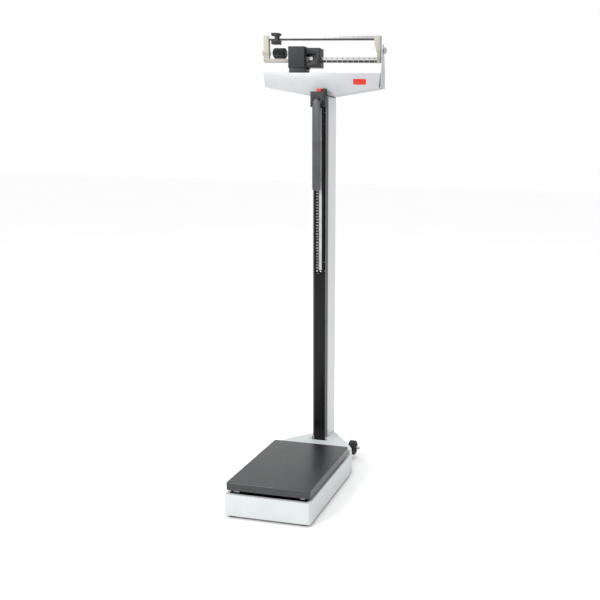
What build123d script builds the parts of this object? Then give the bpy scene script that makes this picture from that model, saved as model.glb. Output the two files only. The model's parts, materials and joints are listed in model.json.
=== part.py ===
from build123d import *
import math
import os

# Physician beam scale. X runs to the right, Y to the back, Z up from the floor; all sizes in mm.

# base housing and platform
BASE_W = 280
BASE_FRONT = -295
BASE_REAR = 105
BASE_LOW = 9
BASE_TOP = 78
BASE_FLARE = 1.2
SHEET = 2
PLATFORM_W = 275
PLATFORM_L = 380
PLATFORM_FRONT = -287.5
PLATFORM_LOW = 88.8
PLATFORM_TOP = 113.6
MAT = 3
DECK_TOP = 94
FAIRING_TOP = 106
SKIRT_TOP = 56
TAIL_REAR = 280
TAIL_W = 136

# platform levers
KNIFE_Z = 48
LOAD_ARM = 36
LONG_PIVOT_Y = -262
SHORT_PIVOT_Y = 80
LINK_Y = -91
LEVER_X = 104
ROD_Y = 211
KNIFE = 8
GAP = 0.3

# column
COL_W = 56
COL_FRONT = 177
COL_BACK = 262
COL_LOW = 66
COL_TOP = 1322
TOP_PLATE = 4
COL_WALL = 3
COL_BEVEL = 7
STRIP_W = 42
STRIP_T = 2

# head and beam
HEAD_HALF = 209
HEAD_FRONT = 185
HEAD_BACK = 238
HEAD_TOP = 1401
HEAD_END = 1352
BEAM_Y = 211
BEAM_LOW = 1437
BEAM_TOP = 1526
BEAM_LEFT = -216
BEAM_RIGHT = 203
END_INNER = -197
BAR_RIGHT = 181
LOWER_RIGHT = 191
PIVOT_X = -74
LOAD_X = -104
PIVOT_Z = 1446
BEAM_KNIFE = 6
TRANSFER_Z = 1373
TRANSFER_PIVOT_X = 60
BAR_T = 10
LEG_END = -121
COVER_LEFT = -118
COVER_RIGHT = -58
COVER_TOP = 1488
ARM_TOP = 1484
KNOB_END = 220
KNOB_Z = 1478
SCREW_Z = 1468
UPPER_LOW = 1510.5
UPPER_TOP = 1525
LOWER_TOP = 1456
POISE_TOP = 1535

# height rod
GUIDE_LOW = 713
GUIDE_TOP = 1283
ROD_FRONT = 150
HINGE_Z = 1300
HINGE_Y = 143
PADDLE_LOW = 1005
BUTTON_X = 4

# wheels and feet
WHEEL_X = 98
WHEEL_Y = 269.4
WHEEL_Z = 40
WHEEL_D = 54
WHEEL_W = 26
AXLE_D = 10
FOOT_X = 118
FOOT_Y = (-270, 84)

BASE_MID = (BASE_FRONT + BASE_REAR) / 2
BASE_L = BASE_REAR - BASE_FRONT
PLATFORM_MID = PLATFORM_FRONT + PLATFORM_L / 2
SIDES = {"left": -1, "right": 1}

os.makedirs("parts", exist_ok=True)


def save(builder, name):
    """Label a finished piece and write it as its own STEP file."""
    builder.part.label = name
    export_step(builder.part, f"parts/{name}.step")


def block(x0, x1, y0, y1, z0, z1, mode=Mode.ADD):
    """A box given by its low and high corner."""
    with Locations(((x0 + x1) / 2, (y0 + y1) / 2, (z0 + z1) / 2)):
        Box(abs(x1 - x0), abs(y1 - y0), abs(z1 - z0), mode=mode)


def rod_x(x0, x1, y, z, radius, mode=Mode.ADD):
    """A round bar along X."""
    with Locations(Location(((x0 + x1) / 2, y, z), (0, 90, 0))):
        Cylinder(radius, x1 - x0, mode=mode)


def rod_y(y0, y1, x, z, radius, mode=Mode.ADD):
    """A round bar along Y."""
    with Locations(Location((x, (y0 + y1) / 2, z), (90, 0, 0))):
        Cylinder(radius, y1 - y0, mode=mode)


def rod_z(z0, z1, x, y, radius, mode=Mode.ADD):
    """A round bar along Z."""
    with Locations((x, y, (z0 + z1) / 2)):
        Cylinder(radius, z1 - z0, mode=mode)


def prism_x(points, x0, x1, mode=Mode.ADD):
    """A straight bar along X with the (y, z) outline."""
    with BuildSketch(Plane.YZ.offset(min(x0, x1))) as profile:
        with BuildLine():
            Polyline(*points, close=True)
        make_face()
    extrude(profile.sketch, amount=abs(x1 - x0), mode=mode)


def prism_y(points, y0, y1, mode=Mode.ADD):
    """A straight bar along Y with the (x, z) outline."""
    with BuildSketch(Plane.XZ.offset(-y1)) as profile:
        with BuildLine():
            Polyline(*points, close=True)
        make_face()
    extrude(profile.sketch, amount=y1 - y0, mode=mode)


def prism_z(points, z0, z1, mode=Mode.ADD):
    """A plate with the (x, y) outline."""
    with BuildSketch(Plane.XY.offset(z0)) as profile:
        with BuildLine():
            Polyline(*points, close=True)
        make_face()
    extrude(profile.sketch, amount=z1 - z0, mode=mode)


def wedge(across, edge, back, half):
    """The triangle of a knife edge or of a V groove, from its edge line to its back."""
    return ((across, edge), (across + half, back), (across - half, back))


def base_housing():
    """White sheet housing, open below, with a lip round its upper opening."""
    height = BASE_TOP - BASE_LOW
    with BuildPart() as housing:
        with BuildSketch(Plane.XY.offset(BASE_TOP)):
            with Locations((0, BASE_MID)):
                RectangleRounded(BASE_W, BASE_L, 6)
        extrude(amount=-height, taper=-BASE_FLARE)
        with BuildSketch(Plane.XY.offset(BASE_TOP - SHEET)):
            with Locations((0, BASE_MID)):
                RectangleRounded(BASE_W - 2 * SHEET, BASE_L - 2 * SHEET, 4)
        extrude(amount=-height, taper=-BASE_FLARE, mode=Mode.SUBTRACT)
        with BuildSketch(Plane.XY.offset(BASE_TOP)):
            with Locations((0, BASE_MID)):
                RectangleRounded(BASE_W - 24, BASE_L - 24, 4)
        extrude(amount=-2 * SHEET, mode=Mode.SUBTRACT)
        block(-64, 64, BASE_REAR - 10, BASE_REAR + 10, BASE_LOW - 1, 70, Mode.SUBTRACT)
    save(housing, "base_housing")


def mirrored(points):
    """A closed outline made of right-hand points and their mirror images."""
    return list(points) + [(-x, y) for x, y in reversed(points)]


def tapered(low_points, high_points, z0, z1, mode=Mode.ADD):
    """A ruled solid between two outlines in X and Y at two heights."""
    sections = []
    for points, z in ((low_points, z0), (high_points, z1)):
        with BuildSketch(Plane.XY.offset(z)) as section:
            with BuildLine():
                Polyline(*points, close=True)
            make_face()
        sections.append(section.sketch)
    loft(sections, ruled=True, mode=mode)


def rear_housing():
    """White cover behind the platform: a tapering deck that slopes down behind the column."""
    front = BASE_REAR + 1.6
    tail = TAIL_W / 2
    skirt = ((138, front), (138, 136), (112, 186), (84, 228), (tail, TAIL_REAR))
    deck = ((138, front), (138, 128), (106, 178), (62, 222), (34, 266))
    skirt_in = ((136, front + SHEET), (136, 135), (110, 185), (82, 227), (tail - SHEET, TAIL_REAR - SHEET))
    deck_in = ((136, front + SHEET), (136, 127), (104, 177), (60, 221), (32, 264))
    middle = (COL_FRONT + COL_BACK) / 2
    with BuildPart() as cover:
        prism_z(mirrored(skirt), BASE_LOW, SKIRT_TOP)
        tapered(mirrored(skirt), mirrored(deck), SKIRT_TOP, DECK_TOP)
        with BuildSketch(Plane.XY.offset(DECK_TOP - 1)):
            with Locations((0, middle - 8)):
                RectangleRounded(COL_W + 44, COL_BACK - COL_FRONT - 4, 8)
        with BuildSketch(Plane.XY.offset(FAIRING_TOP)):
            with Locations((0, middle - 8)):
                RectangleRounded(COL_W + 8, COL_BACK - COL_FRONT - 14, 2)
        loft()
        prism_z(mirrored(skirt_in), BASE_LOW, SKIRT_TOP, Mode.SUBTRACT)
        tapered(mirrored(skirt_in), mirrored(deck_in), SKIRT_TOP, DECK_TOP - 3, Mode.SUBTRACT)
        block(-(COL_W / 2 + GAP), COL_W / 2 + GAP, COL_FRONT - STRIP_T - GAP, COL_BACK + GAP,
              DECK_TOP - 6, FAIRING_TOP + 10, Mode.SUBTRACT)
        block(-40, 40, COL_FRONT - 20, COL_FRONT, DECK_TOP + 1, FAIRING_TOP + 10, Mode.SUBTRACT)
        block(-62, 62, BASE_REAR - 5, BASE_REAR + 10, BASE_LOW - 1, 70, Mode.SUBTRACT)
        for side in (-1, 1):
            rod_x(min(side * 60, side * 84), max(side * 60, side * 84), WHEEL_Y, WHEEL_Z, AXLE_D / 2 + 1,
                  Mode.SUBTRACT)
            block(side * 60, side * 84, WHEEL_Y, TAIL_REAR + 9, WHEEL_Z - 6, WHEEL_Z + 6, Mode.SUBTRACT)
    save(cover, "rear_housing")


def base_frame():
    """Steel floor plate with a tail under the column, four fulcrum stands and two axle ears."""
    with BuildPart() as frame:
        block(-132, 132, BASE_FRONT + 8, BASE_REAR - 4, 12, 15)
        block(-60, 60, BASE_REAR - 6, TAIL_REAR - 4, 12, 15)
        for x in (-57, 57):
            block(x - 2, x + 2, -60, TAIL_REAR - 4, 15, 26)
        for side in (-1, 1):
            for y in (LONG_PIVOT_Y, SHORT_PIVOT_Y):
                block(side * 84, side * 94, y - 10, y + 10, 15, KNIFE_Z - 6)
            block(side * 50, side * 55, WHEEL_Y - 10, TAIL_REAR - 4, 15, WHEEL_Z + 12)
            rod_x(min(side * 49, side * 56), max(side * 49, side * 56), WHEEL_Y, WHEEL_Z,
                  AXLE_D / 2 + 0.02, Mode.SUBTRACT)
            for y in FOOT_Y:
                rod_z(10, 16, side * FOOT_X, y, 5.1, Mode.SUBTRACT)
    save(frame, "base_frame")


def vee_bearings():
    """V blocks on the stands and on the pedestal that carry the levers' and the beam's pivots."""
    with BuildPart() as bearings:
        for side in (-1, 1):
            for y in (LONG_PIVOT_Y, SHORT_PIVOT_Y):
                block(side * 84, side * 94, y - 7, y + 7, KNIFE_Z - 6, KNIFE_Z + 3)
                prism_x(wedge(y, KNIFE_Z - GAP, KNIFE_Z + 9, 7), side * 83, side * 95, Mode.SUBTRACT)
            y0, y1 = sorted((BEAM_Y + side * 11, BEAM_Y + side * 20))
            block(PIVOT_X - 7, PIVOT_X + 7, y0, y1, PIVOT_Z - 6, PIVOT_Z + 3)
            prism_y(wedge(PIVOT_X, PIVOT_Z - GAP, PIVOT_Z + 9, 7), y0 - 1, y1 + 1, Mode.SUBTRACT)
    save(bearings, "vee_bearings")


def lever_ends(pivot_y, toward, low):
    """The two end blocks of a lever, holding the pivot and load knife edges."""
    y0, y1 = sorted((pivot_y - 13 * toward, pivot_y + (LOAD_ARM + 13) * toward))
    for side in (-1, 1):
        block(side * (LEVER_X - 6), side * (LEVER_X + 6), y0, y1, low, KNIFE_Z + 8)


def lever_arms(y0, y1, low, high):
    """Two arms running together from the end blocks at y0 to the nose at y1."""
    for side in (-1, 1):
        outline = ((side * 98, y0), (side * 110, y0), (side * 6, y1), (0, y1), (0, y1 - (y1 - y0) * 0.08))
        prism_z(outline, low, high)


def cut_knives(pivot_y, toward):
    """Seats of the pivot and load knife edges through the end blocks."""
    for side in (-1, 1):
        prism_x(wedge(pivot_y, KNIFE_Z, KNIFE_Z + KNIFE, KNIFE / 2), side * 97, side * 111, Mode.SUBTRACT)
        prism_x(wedge(pivot_y + LOAD_ARM * toward, KNIFE_Z, KNIFE_Z - KNIFE, KNIFE / 2),
                side * 97, side * 111, Mode.SUBTRACT)


def long_lever():
    """A-shaped platform lever: pivots at the front corners, nose under the draft rod."""
    rear_y = LONG_PIVOT_Y + LOAD_ARM + 13
    with BuildPart() as lever:
        lever_ends(LONG_PIVOT_Y, 1, 40)
        lever_arms(rear_y, 150, 44, 54)
        block(-98, 98, -242, -232, 44, 54)
        block(-66, 66, -84, -76, 44, 54)
        block(-6, 6, LINK_Y - 6, -80, 44, 54)
        block(-6, 6, 110, ROD_Y + 8, 44, 58)
        cut_knives(LONG_PIVOT_Y, 1)
        prism_x(wedge(ROD_Y, KNIFE_Z, KNIFE_Z + KNIFE, KNIFE / 2), -7, 7, Mode.SUBTRACT)
    save(lever, "long_lever")


def short_lever():
    """V-shaped platform lever: pivots at the rear corners, nose hung from the long lever."""
    front_y = SHORT_PIVOT_Y - LOAD_ARM - 13
    with BuildPart() as lever:
        lever_ends(SHORT_PIVOT_Y, -1, 29)
        lever_arms(front_y, -60, 29, 37)
        block(-98, 98, 52, 60, 29, 37)
        block(-6, 6, LINK_Y - 8, -46, 29, 37)
        cut_knives(SHORT_PIVOT_Y, -1)
    save(lever, "short_lever")


def lever_knives(name, pivot_y, toward, nose):
    """Hardened knife edges of one lever, as separate bars."""
    with BuildPart() as knives:
        for side in (-1, 1):
            prism_x(wedge(pivot_y, KNIFE_Z, KNIFE_Z + KNIFE, KNIFE / 2), side * 83, side * 110)
            prism_x(wedge(pivot_y + LOAD_ARM * toward, KNIFE_Z, KNIFE_Z - KNIFE, KNIFE / 2),
                    side * 98, side * 125)
        if nose:
            prism_x(wedge(ROD_Y, KNIFE_Z, KNIFE_Z + KNIFE, KNIFE / 2), -17, 17)
    save(knives, name)


def lever_link():
    """Closed ring that hangs the short lever's nose from the long lever."""
    with BuildPart() as link:
        block(-11.5, 11.5, LINK_Y - 3, LINK_Y + 3, 24, 58.5)
        block(-8, 8, LINK_Y - 4, LINK_Y + 4, 28, 54.5, Mode.SUBTRACT)
    save(link, "lever_link")


def platform_mat():
    """Dark rubber cover over the top and sides of the platform."""
    with BuildPart() as mat:
        with BuildSketch(Plane.XY.offset(PLATFORM_LOW)):
            with Locations((0, PLATFORM_MID)):
                RectangleRounded(PLATFORM_W, PLATFORM_L, 6)
        extrude(amount=PLATFORM_TOP - PLATFORM_LOW)
        fillet(mat.faces().sort_by(Axis.Z)[-1].edges(), 2.5)
        with BuildSketch(Plane.XY.offset(PLATFORM_LOW)):
            with Locations((0, PLATFORM_MID)):
                RectangleRounded(PLATFORM_W - 2 * MAT, PLATFORM_L - 2 * MAT, 3)
        extrude(amount=PLATFORM_TOP - PLATFORM_LOW - MAT, mode=Mode.SUBTRACT)
    save(mat, "platform_mat")


def platform_plate():
    """Steel pan of the platform, open below."""
    top = PLATFORM_TOP - MAT
    with BuildPart() as plate:
        with BuildSketch(Plane.XY.offset(PLATFORM_LOW)):
            with Locations((0, PLATFORM_MID)):
                RectangleRounded(PLATFORM_W - 2 * MAT, PLATFORM_L - 2 * MAT, 3)
        extrude(amount=top - PLATFORM_LOW)
        block(-131, 131, PLATFORM_FRONT + 7, PLATFORM_FRONT + PLATFORM_L - 7, PLATFORM_LOW - 1, top - 4,
              Mode.SUBTRACT)
        for x in (-45, 45):
            block(x - 2, x + 2, PLATFORM_FRONT + 7, PLATFORM_FRONT + PLATFORM_L - 7, top - 16, top - 4)
    save(plate, "platform_plate")


def platform_brackets():
    """Four legs under the platform that stand on the levers' load knife edges."""
    under = PLATFORM_TOP - MAT - 4
    with BuildPart() as brackets:
        for side in (-1, 1):
            for y in (LONG_PIVOT_Y + LOAD_ARM, SHORT_PIVOT_Y - LOAD_ARM):
                block(side * 100, side * 124, y - 11, y + 11, 64, under)
                block(side * 103, side * 112, y - 12, y + 12, 67, under - 3, Mode.SUBTRACT)
                block(side * 113, side * 124, y - 9, y + 9, 54, 64)
    save(brackets, "platform_brackets")


def platform_bearings():
    """Inverted V blocks at the foot of the platform legs."""
    with BuildPart() as bearings:
        for side in (-1, 1):
            for y in (LONG_PIVOT_Y + LOAD_ARM, SHORT_PIVOT_Y - LOAD_ARM):
                block(side * 113, side * 123, y - 7, y + 7, KNIFE_Z - 3, 54)
                prism_x(wedge(y, KNIFE_Z + GAP, KNIFE_Z - 9, 7), side * 112, side * 124, Mode.SUBTRACT)
    save(bearings, "platform_bearings")


def feet():
    """Four screw feet, each its own node, and the nuts that lock them."""
    for end, y in zip(("front", "rear"), FOOT_Y):
        for name, side in SIDES.items():
            x = side * FOOT_X
            with BuildPart() as foot:
                rod_z(0, 7, x, y, 16)
                fillet(foot.edges().group_by(Axis.Z)[-1], 2)
                rod_z(7, 28, x, y, 5)
            save(foot, f"foot_{end}_{name}")
    with BuildPart() as nuts:
        for side in (-1, 1):
            for y in FOOT_Y:
                with BuildSketch(Plane.XY.offset(15)) as outline:
                    with Locations((side * FOOT_X, y)):
                        RegularPolygon(9, 6)
                        Circle(5.1, mode=Mode.SUBTRACT)
                extrude(outline.sketch, amount=7)
    save(nuts, "foot_lock_nuts")


def wheels():
    """Axle across the tail, two rubber-tyred wheels, spacers and push-on caps."""
    half = WHEEL_W / 2
    with BuildPart() as axle:
        rod_x(-WHEEL_X - 27, WHEEL_X + 27, WHEEL_Y, WHEEL_Z, AXLE_D / 2)
        chamfer(axle.edges().filter_by(GeomType.CIRCLE), 1)
    save(axle, "wheel_axle")
    with BuildPart() as spacers:
        for side in (-1, 1):
            x0, x1 = sorted((side * 55, side * (WHEEL_X - half - 0.5)))
            rod_x(x0, x1, WHEEL_Y, WHEEL_Z, AXLE_D / 2 + 0.9)
            rod_x(x0, x1, WHEEL_Y, WHEEL_Z, AXLE_D / 2, Mode.SUBTRACT)
    save(spacers, "wheel_spacers")
    with BuildPart() as caps:
        for side in (-1, 1):
            x0, x1 = sorted((side * (WHEEL_X + half + 0.5), side * (WHEEL_X + half + 4)))
            rod_x(x0, x1, WHEEL_Y, WHEEL_Z, 8)
            rod_x(x0, x1, WHEEL_Y, WHEEL_Z, AXLE_D / 2, Mode.SUBTRACT)
    save(caps, "wheel_caps")
    for name, side in SIDES.items():
        x = side * WHEEL_X
        with BuildPart() as hub:
            rod_x(x - half + 2, x + half - 2, WHEEL_Y, WHEEL_Z, 19)
            rod_x(x - half + 1.9, x - half + 6, WHEEL_Y, WHEEL_Z, 16, Mode.SUBTRACT)
            rod_x(x + half - 6, x + half - 1.9, WHEEL_Y, WHEEL_Z, 16, Mode.SUBTRACT)
            rod_x(x - half, x + half, WHEEL_Y, WHEEL_Z, 9)
            rod_x(x - half - 1, x + half + 1, WHEEL_Y, WHEEL_Z, AXLE_D / 2 + 0.08, Mode.SUBTRACT)
            for turn in range(5):
                angle = math.radians(72 * turn)
                rod_x(x - half, x + half, WHEEL_Y + 12.5 * math.cos(angle),
                      WHEEL_Z + 12.5 * math.sin(angle), 2.5, Mode.SUBTRACT)
        save(hub, f"wheel_hub_{name}")
        with BuildPart() as tyre:
            rod_x(x - half, x + half, WHEEL_Y, WHEEL_Z, WHEEL_D / 2)
            fillet(tyre.edges().filter_by(GeomType.CIRCLE), 6)
            rod_x(x - half - 1, x + half + 1, WHEEL_Y, WHEEL_Z, 19, Mode.SUBTRACT)
        save(tyre, f"wheel_tyre_{name}")



def column_outline(inset):
    """Outline of the column in X and Y, with its two front corners bevelled."""
    half = COL_W / 2 - inset
    front = COL_FRONT + inset
    back = COL_BACK - inset
    bevel = COL_BEVEL - inset * (2 - math.sqrt(2))
    return ((-half, back), (-half, front + bevel), (bevel - half, front), (half - bevel, front),
            (half, front + bevel), (half, back))


def column_parts():
    """Hollow column, its black front strip, foot brackets with bolts, and top plate."""
    bolts = [(side, y) for side in (-1, 1) for y in (205, 240)]
    bolt_z = 77
    half = COL_W / 2
    with BuildPart() as column:
        prism_z(column_outline(0), COL_LOW, COL_TOP)
        prism_z(column_outline(COL_WALL), COL_LOW, COL_TOP, Mode.SUBTRACT)
        for side, y in bolts:
            rod_x(*sorted((side * 20, side * 35)), y, bolt_z, 4.05, Mode.SUBTRACT)
    save(column, "column")
    with BuildPart() as strip:
        block(-STRIP_W / 2, STRIP_W / 2, COL_FRONT - STRIP_T, COL_FRONT, DECK_TOP - 3, COL_TOP)
        chamfer(strip.faces().sort_by(Axis.Y)[0].edges().filter_by(Axis.Z), 0.8)
    save(strip, "column_strip")
    with BuildPart() as brackets:
        for side in (-1, 1):
            block(side * half, side * (half + 4), 192, 252, 15, 88)
            block(side * (half + 4), side * (half + 24), 192, 252, 15, 19)
        for side, y in bolts:
            rod_x(*sorted((side * 20, side * 35)), y, bolt_z, 4.05, Mode.SUBTRACT)
    save(brackets, "column_brackets")
    with BuildPart() as screws:
        for side, y in bolts:
            rod_x(*sorted((side * 24, side * (half + 4))), y, bolt_z, 4)
            rod_x(*sorted((side * (half + 4), side * (half + 9))), y, bolt_z, 6.5)
    save(screws, "column_bolts")
    with BuildPart() as plate:
        prism_z(column_outline(0), COL_TOP, COL_TOP + TOP_PLATE)
        block(-18, 18, BEAM_Y - 18, BEAM_Y + 18, COL_TOP - 1, COL_TOP + TOP_PLATE + 1, Mode.SUBTRACT)
    save(plate, "column_top_plate")


def stirrup_x(x0, x1, y, seat, bridge, up):
    """Two strips at x0 and x1 with a window whose closed end is the seat, joined by a bridge."""
    for side in (-1, 1):
        block(side * x0, side * x1, y - 8, y + 8, min(bridge, seat - 5), max(bridge, seat + 5))
        block(side * (x0 - 1), side * (x1 + 1), y - 5, y + 5, seat, seat + up * 10.5, Mode.SUBTRACT)
    block(-x1, x1, y - 8, y + 8, bridge - 3, bridge + 3)


def stirrup_y(x, y0, y1, seat, bridge):
    """Two strips at y0 and y1 from the bridge up to a knife edge that they hang on, with windows."""
    for side in (-1, 1):
        block(x - 7, x + 7, BEAM_Y + side * y0, BEAM_Y + side * y1, bridge, seat + 5)
        block(x - 5, x + 5, BEAM_Y + side * (y0 - 1), BEAM_Y + side * (y1 + 1), seat - 10.5, seat,
              Mode.SUBTRACT)
    block(x - 7, x + 7, BEAM_Y - y1, BEAM_Y + y1, bridge - 3, bridge + 3)


def draft_rod_parts():
    """Long rod in the column with a stirrup at each end."""
    low = 72
    high = 1353
    with BuildPart() as rod:
        rod_z(low, high, 0, ROD_Y, 3)
    save(rod, "draft_rod")
    with BuildPart() as stirrups:
        stirrup_x(12, 15, ROD_Y, KNIFE_Z - GAP, low - 3, 1)
        stirrup_y(0, 9, 12, TRANSFER_Z + GAP, high + 3)
    save(stirrups, "draft_rod_stirrups")


def height_rod_parts():
    """Guide on the column, sliding rod, head block with release button, and folding headpiece."""
    face = COL_FRONT - STRIP_T
    with BuildPart() as guide:
        block(-17, 17, face - 12, face, GUIDE_LOW, GUIDE_TOP)
        block(-14, 14, face - 10, face - 2, GUIDE_LOW + 3, GUIDE_TOP + 1, Mode.SUBTRACT)
        block(-12, 12, face - 13, face - 9, GUIDE_LOW + 3, GUIDE_TOP + 1, Mode.SUBTRACT)
    save(guide, "rod_guide")
    with BuildPart() as rod:
        block(-13.6, 13.6, face - 9.6, face - 2.4, GUIDE_LOW + 5, GUIDE_TOP + 2)
    save(rod, "height_rod")
    back = face - 0.8
    low = GUIDE_TOP + 2
    high = low + 62
    deck = high - 11
    with BuildPart() as head:
        block(-26, 26, ROD_FRONT, back, low, deck)
        fillet(head.edges().filter_by(Axis.Z), 3)
        block(-8, 26, 168.6, back, deck - 1, high)
        block(13.6, 26, 158, back, deck - 1, high)
        for side in (-1, 1):
            block(side * 14.5, side * 18.5, HINGE_Y - 5, ROD_FRONT + 1, HINGE_Z - 7, HINGE_Z + 7)
        rod_x(-30, 30, HINGE_Y, HINGE_Z, 2.5, Mode.SUBTRACT)
        block(-9.5, 9.5, ROD_FRONT - 1, ROD_FRONT + 6, HINGE_Z - 1, HINGE_Z + 11.5, Mode.SUBTRACT)
        block(-5, 13, 152, 168, high - 26, high + 1, Mode.SUBTRACT)
        rod_z(high - 40, high - 25, BUTTON_X, 161, 4, Mode.SUBTRACT)
    save(head, "rod_head")
    with BuildPart() as button:
        block(-4.5, 12.5, 152.5, 167.5, high - 20, high - 1)
        fillet(button.faces().sort_by(Axis.Z)[-1].edges(), 2)
    save(button, "release_button")
    with BuildPart() as spring:
        with BuildLine() as coil:
            Helix(pitch=3.4, height=17, radius=2.8, center=(BUTTON_X, 161, high - 38.6))
        with BuildSketch(Plane(origin=coil.line @ 0, z_dir=coil.line % 0)) as wire:
            Circle(0.5)
        sweep(wire.sketch, path=coil.line, is_frenet=True)
    save(spring, "button_spring")
    with BuildPart() as pin:
        rod_x(-18.5, 18.5, HINGE_Y, HINGE_Z, 2.42)
    save(pin, "headpiece_pin")
    with BuildPart() as paddle:
        arch = [(14 * math.cos(math.radians(turn)), HINGE_Z - 19 + 30 * math.sin(math.radians(turn)))
                for turn in range(0, 181, 10)]
        prism_y(arch + [(-14, PADDLE_LOW), (14, PADDLE_LOW)], HINGE_Y - 5, HINGE_Y - 0.5)
        fillet(paddle.edges().filter_by(Axis.Y).group_by(Axis.Z)[0], 6)
        rod_x(-14, 14, HINGE_Y, HINGE_Z, 5)
        rod_x(-15, 15, HINGE_Y, HINGE_Z, 2.5, Mode.SUBTRACT)
    save(paddle, "headpiece")




def head_outline(inset):
    """Outline of the head in X and Z: level top, ends drawn in, bottom rising from the column."""
    bottom = COL_TOP + TOP_PLATE + inset
    low = HEAD_END + inset
    top = HEAD_TOP - inset
    half = HEAD_HALF - inset
    return ((-half, top), (half, top), (half - 6, low), (45, bottom), (-45, bottom), (6 - half, low))


def head_parts():
    """Head housing folded from sheet, its rear cover and screws, and the pivot plates inside."""
    with BuildPart() as housing:
        prism_y(head_outline(0), HEAD_FRONT, HEAD_BACK - SHEET)
        prism_y(head_outline(SHEET), HEAD_FRONT + SHEET, HEAD_BACK, Mode.SUBTRACT)
        block(-18, 18, BEAM_Y - 18, BEAM_Y + 18, COL_TOP, COL_TOP + 12, Mode.SUBTRACT)
        block(LOAD_X - 10, LOAD_X + 10, BEAM_Y - 18, BEAM_Y + 18, HEAD_TOP - 6, HEAD_TOP + 1, Mode.SUBTRACT)
    save(housing, "head_housing")
    places = [(x, z) for x in (-190, 190) for z in (1362, 1390)] + [(-60, 1338), (60, 1338)]
    with BuildPart() as cover:
        prism_y(head_outline(0), HEAD_BACK - SHEET, HEAD_BACK)
        for x, z in places:
            rod_y(HEAD_BACK - 3, HEAD_BACK + 1, x, z, 2, Mode.SUBTRACT)
    save(cover, "head_cover")
    face = COL_FRONT - STRIP_T
    with BuildPart() as screws:
        for x, z in places:
            rod_y(HEAD_BACK - SHEET, HEAD_BACK, x, z, 2)
            rod_y(HEAD_BACK, HEAD_BACK + 2.2, x, z, 4)
        for z in (GUIDE_LOW + 8, GUIDE_LOW + 40, GUIDE_TOP - 14):
            for side in (-1, 1):
                rod_y(face - 3, face, side * 19.1, z, 1.8)
    save(screws, "small_screws")
    with BuildPart() as plates:
        for side in (-1, 1):
            y0, y1 = sorted((BEAM_Y + side * 10, BEAM_Y + side * 15))
            block(TRANSFER_PIVOT_X - 10, TRANSFER_PIVOT_X + 10, y0, y1, 1358, HEAD_TOP - SHEET)
            prism_y(wedge(TRANSFER_PIVOT_X, TRANSFER_Z - GAP, TRANSFER_Z + 10, 7), y0 - 1, y1 + 1,
                    Mode.SUBTRACT)
    save(plates, "transfer_pivot_plates")


def transfer_lever_parts():
    """Lever across the head that joins the draft rod to the beam's link, and its knife edges."""
    low = TRANSFER_Z - 7
    high = TRANSFER_Z + 9
    edges = ((TRANSFER_PIVOT_X, 14, 1), (0, 13, -1), (LOAD_X, 7.5, 1))
    with BuildPart() as lever:
        block(LOAD_X + 16, TRANSFER_PIVOT_X + 9, BEAM_Y - BAR_T / 2, BEAM_Y + BAR_T / 2, low, high)
        block(LOAD_X - 8, LOAD_X + 22, BEAM_Y - BAR_T / 2, BEAM_Y + BAR_T / 2, TRANSFER_Z + 1, high + 4)
        for x, half, way in edges:
            prism_y(wedge(x, TRANSFER_Z, TRANSFER_Z + way * KNIFE, KNIFE / 2), BEAM_Y - 6, BEAM_Y + 6,
                    Mode.SUBTRACT)
    save(lever, "transfer_lever")
    with BuildPart() as knives:
        for x, half, way in edges:
            prism_y(wedge(x, TRANSFER_Z, TRANSFER_Z + way * KNIFE, KNIFE / 2), BEAM_Y - half, BEAM_Y + half)
    save(knives, "transfer_knives")


def beam_link():
    """Link from the beam's load edge down to the end of the transfer lever."""
    with BuildPart() as link:
        stirrup_y(LOAD_X, 9, 12, PIVOT_Z + GAP, TRANSFER_Z - GAP - 3)
    save(link, "beam_link")


def pedestal_parts():
    """Pedestal on the head and the cover over the beam's pivot."""
    with BuildPart() as pedestal:
        block(COVER_LEFT + 2, COVER_RIGHT - 2, HEAD_FRONT + 1, HEAD_BACK - 2, HEAD_TOP, HEAD_TOP + 16)
        block(LOAD_X - 10, LOAD_X + 10, BEAM_Y - 18, BEAM_Y + 18, HEAD_TOP - 1, HEAD_TOP + 17, Mode.SUBTRACT)
        for side in (-1, 1):
            y0, y1 = sorted((BEAM_Y + side * 11, BEAM_Y + side * 20))
            block(PIVOT_X - 8, PIVOT_X + 8, y0, y1, HEAD_TOP + 16, PIVOT_Z - 6)
    save(pedestal, "beam_pedestal")
    left, right = COVER_LEFT, COVER_RIGHT
    front, back = BEAM_Y - 29, BEAM_Y + 29
    low, high = HEAD_TOP + 16, COVER_TOP
    with BuildPart() as cover:
        block(left, right, front, back, low, high)
        fillet(cover.edges().filter_by(Axis.Z), 3)
        fillet(cover.faces().sort_by(Axis.Z)[-1].edges(), 1.5)
        block(left + 3, right - 3, front + 3, back - 3, low - 1, high - 4, Mode.SUBTRACT)
        block(left - 1, right + 1, BEAM_Y - 10, BEAM_Y + 10, low - 1, PIVOT_Z + 22, Mode.SUBTRACT)
    save(cover, "pedestal_cover")


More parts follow.
